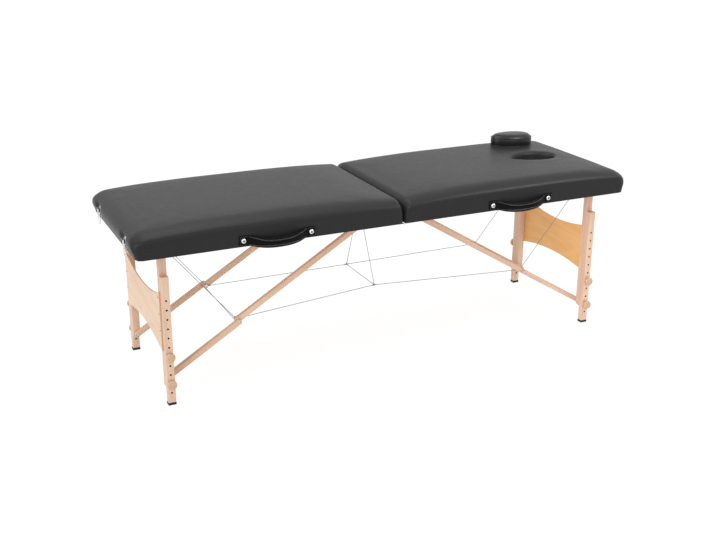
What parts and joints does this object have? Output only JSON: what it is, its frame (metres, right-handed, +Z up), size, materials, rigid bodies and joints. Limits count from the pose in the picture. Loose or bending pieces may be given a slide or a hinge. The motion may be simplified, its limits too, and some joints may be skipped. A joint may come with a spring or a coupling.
{
  "type": "massage table",
  "caption": "Folding massage table: two padded halves hinged across the middle, on folding wooden legs with jointed braces, stay cables and height-adjustable feet.",
  "frame": {"origin": "on the floor, under the middle of the whole", "axes": "+Z up, +X along the table towards the head end, -Y towards the side with the two carrying handles"},
  "size_m": [1.8718, 0.6262, 0.6684],
  "materials": {
    "pad_vinyl": "soft black vinyl with a fine grain and a satin sheen, drawn over 35 mm of foam",
    "vinyl": "soft black vinyl with a fine grain and a satin sheen",
    "beech": "pale beech, thin satin varnish",
    "plywood": "birch plywood, clear satin varnish",
    "knob_wood": "turned wood, clear satin varnish",
    "rubber": "matt black rubber",
    "steel": "bright plated steel",
    "wire": "twisted steel cable"
  },
  "bodies": {
    "section_foot": {"cushion_foot": "pad_vinyl", "deck_foot": "plywood", "frame_foot": "beech", "hinge_leaf_foot": "steel", "handle_foot": "vinyl", "leg_pivot_rod_foot": "steel", "brace_pivot_rod_foot": "steel", "latch_base_near": "steel", "latch_base_far": "steel", "stay_cable_foot": "wire", "cable_net": "wire"},
    "section_head": {"cushion_head": "pad_vinyl", "deck_head": "plywood", "frame_head": "beech", "hinge_leaf_head": "steel", "handle_head": "vinyl", "leg_pivot_rod_head": "steel", "brace_pivot_rod_head": "steel", "keeper_near": "steel", "keeper_far": "steel", "stay_cable_head": "wire"},
    "face_plug": {"face_plug": "pad_vinyl"},
    "legs_foot": {"post_foot_near": "beech", "post_foot_far": "beech", "end_panel_foot": "plywood"},
    "upper_braces_foot": {"upper_brace_foot_near": "beech", "upper_brace_foot_far": "beech", "knee_pin_foot_near": "steel", "knee_pin_foot_far": "steel"},
    "lower_braces_foot": {"lower_brace_foot_near": "beech", "lower_brace_foot_far": "beech"},
    "leg_extension_foot_near": {"extension_foot_near": "beech", "rubber_tip_foot_near": "rubber"},
    "upper_knob_foot_near": {"upper_knob_foot_near": "knob_wood"},
    "lower_knob_foot_near": {"lower_knob_foot_near": "knob_wood"},
    "leg_extension_foot_far": {"extension_foot_far": "beech", "rubber_tip_foot_far": "rubber"},
    "upper_knob_foot_far": {"upper_knob_foot_far": "knob_wood"},
    "lower_knob_foot_far": {"lower_knob_foot_far": "knob_wood"},
    "legs_head": {"post_head_near": "beech", "post_head_far": "beech", "end_panel_head": "plywood"},
    "upper_braces_head": {"upper_brace_head_near": "beech", "upper_brace_head_far": "beech", "knee_pin_head_near": "steel", "knee_pin_head_far": "steel"},
    "lower_braces_head": {"lower_brace_head_near": "beech", "lower_brace_head_far": "beech"},
    "leg_extension_head_near": {"extension_head_near": "beech", "rubber_tip_head_near": "rubber"},
    "upper_knob_head_near": {"upper_knob_head_near": "knob_wood"},
    "lower_knob_head_near": {"lower_knob_head_near": "knob_wood"},
    "leg_extension_head_far": {"extension_head_far": "beech", "rubber_tip_head_far": "rubber"},
    "upper_knob_head_far": {"upper_knob_head_far": "knob_wood"},
    "lower_knob_head_far": {"lower_knob_head_far": "knob_wood"},
    "latch_lever_near": {"latch_lever_near": "steel"},
    "latch_bail_near": {"latch_bail_near": "steel"},
    "latch_lever_far": {"latch_lever_far": "steel"},
    "latch_bail_far": {"latch_bail_far": "steel"}
  },
  "joints": [
    {"name": "centre_fold", "type": "hinge", "parent": "section_foot", "child": "section_head", "pos_m": [0.0036, 0.01315, 0.5277], "axis": [0, 1, 0], "range_deg": [0, 90], "deforming": ["cable_net"]},
    {"name": "leg_fold_foot", "type": "hinge", "parent": "section_foot", "child": "legs_foot", "pos_m": [-0.8244, 0.01315, 0.5478], "axis": [0, -1, 0], "range_deg": [0, 90], "deforming": ["stay_cable_foot", "cable_net"]},
    {"name": "upper_brace_fold_foot", "type": "hinge", "parent": "section_foot", "child": "upper_braces_foot", "pos_m": [-0.0564, 0.01315, 0.5408], "axis": [0, -1, 0], "range_deg": [-32.58, 0]},
    {"name": "lower_brace_fold_foot", "type": "hinge", "parent": "legs_foot", "child": "lower_braces_foot", "pos_m": [-0.8244, 0.01315, 0.077], "axis": [0, -1, 0], "range_deg": [0, 57.62]},
    {"name": "extension_slide_foot_near", "type": "slide", "parent": "legs_foot", "child": "leg_extension_foot_near", "axis": [0, 0, -1], "range_m": [0, 0.195]},
    {"name": "upper_knob_spin_foot_near", "type": "hinge", "parent": "legs_foot", "child": "upper_knob_foot_near", "pos_m": [-0.8244, -0.22485, 0.1745], "axis": [0, -1, 0], "continuous": true},
    {"name": "lower_knob_spin_foot_near", "type": "hinge", "parent": "legs_foot", "child": "lower_knob_foot_near", "pos_m": [-0.8244, -0.22485, 0.077], "axis": [0, -1, 0], "continuous": true},
    {"name": "extension_slide_foot_far", "type": "slide", "parent": "legs_foot", "child": "leg_extension_foot_far", "axis": [0, 0, -1], "range_m": [0, 0.195]},
    {"name": "upper_knob_spin_foot_far", "type": "hinge", "parent": "legs_foot", "child": "upper_knob_foot_far", "pos_m": [-0.8244, 0.25115, 0.1745], "axis": [0, 1, 0], "continuous": true},
    {"name": "lower_knob_spin_foot_far", "type": "hinge", "parent": "legs_foot", "child": "lower_knob_foot_far", "pos_m": [-0.8244, 0.25115, 0.077], "axis": [0, 1, 0], "continuous": true},
    {"name": "leg_fold_head", "type": "hinge", "parent": "section_head", "child": "legs_head", "pos_m": [0.8316, 0.01315, 0.5478], "axis": [0, 1, 0], "range_deg": [0, 90], "deforming": ["stay_cable_head"]},
    {"name": "upper_brace_fold_head", "type": "hinge", "parent": "section_head", "child": "upper_braces_head", "pos_m": [0.0636, 0.01315, 0.5408], "axis": [0, 1, 0], "range_deg": [-32.58, 0]},
    {"name": "lower_brace_fold_head", "type": "hinge", "parent": "legs_head", "child": "lower_braces_head", "pos_m": [0.8316, 0.01315, 0.077], "axis": [0, 1, 0], "range_deg": [0, 57.62]},
    {"name": "extension_slide_head_near", "type": "slide", "parent": "legs_head", "child": "leg_extension_head_near", "axis": [0, 0, -1], "range_m": [0, 0.195]},
    {"name": "upper_knob_spin_head_near", "type": "hinge", "parent": "legs_head", "child": "upper_knob_head_near", "pos_m": [0.8316, -0.22485, 0.1745], "axis": [0, -1, 0], "continuous": true},
    {"name": "lower_knob_spin_head_near", "type": "hinge", "parent": "legs_head", "child": "lower_knob_head_near", "pos_m": [0.8316, -0.22485, 0.077], "axis": [0, -1, 0], "continuous": true},
    {"name": "extension_slide_head_far", "type": "slide", "parent": "legs_head", "child": "leg_extension_head_far", "axis": [0, 0, -1], "range_m": [0, 0.195]},
    {"name": "upper_knob_spin_head_far", "type": "hinge", "parent": "legs_head", "child": "upper_knob_head_far", "pos_m": [0.8316, 0.25115, 0.1745], "axis": [0, 1, 0], "continuous": true},
    {"name": "lower_knob_spin_head_far", "type": "hinge", "parent": "legs_head", "child": "lower_knob_head_far", "pos_m": [0.8316, 0.25115, 0.077], "axis": [0, 1, 0], "continuous": true},
    {"name": "face_plug_lift", "type": "slide", "parent": "section_head", "child": "face_plug", "axis": [0, 0, 1], "range_m": [0, 0.1]},
    {"name": "latch_lever_turn_near", "type": "hinge", "parent": "section_foot", "child": "latch_lever_near", "pos_m": [-0.9287, -0.16885, 0.548], "axis": [0, -1, 0], "range_deg": [0, 150]},
    {"name": "latch_bail_turn_near", "type": "hinge", "parent": "latch_lever_near", "child": "latch_bail_near", "pos_m": [-0.9287, -0.16885, 0.558], "axis": [0, -1, 0], "range_deg": [-150.1, 0]},
    {"name": "latch_lever_turn_far", "type": "hinge", "parent": "section_foot", "child": "latch_lever_far", "pos_m": [-0.9287, 0.19515, 0.548], "axis": [0, -1, 0], "range_deg": [0, 150]},
    {"name": "latch_bail_turn_far", "type": "hinge", "parent": "latch_lever_far", "child": "latch_bail_far", "pos_m": [-0.9287, 0.19515, 0.558], "axis": [0, -1, 0], "range_deg": [-150.1, 0]}
  ],
  "couplings": [
    {"joint": "upper_brace_fold_foot", "follows": "leg_fold_foot", "ratio": -0.36086},
    {"joint": "lower_brace_fold_foot", "follows": "leg_fold_foot", "ratio": 0.63914},
    {"joint": "upper_brace_fold_head", "follows": "leg_fold_head", "ratio": -0.36086},
    {"joint": "lower_brace_fold_head", "follows": "leg_fold_head", "ratio": 0.63914},
    {"joint": "latch_bail_turn_near", "follows": "latch_lever_turn_near", "ratio": -1},
    {"joint": "latch_bail_turn_far", "follows": "latch_lever_turn_far", "ratio": -1}
  ]
}
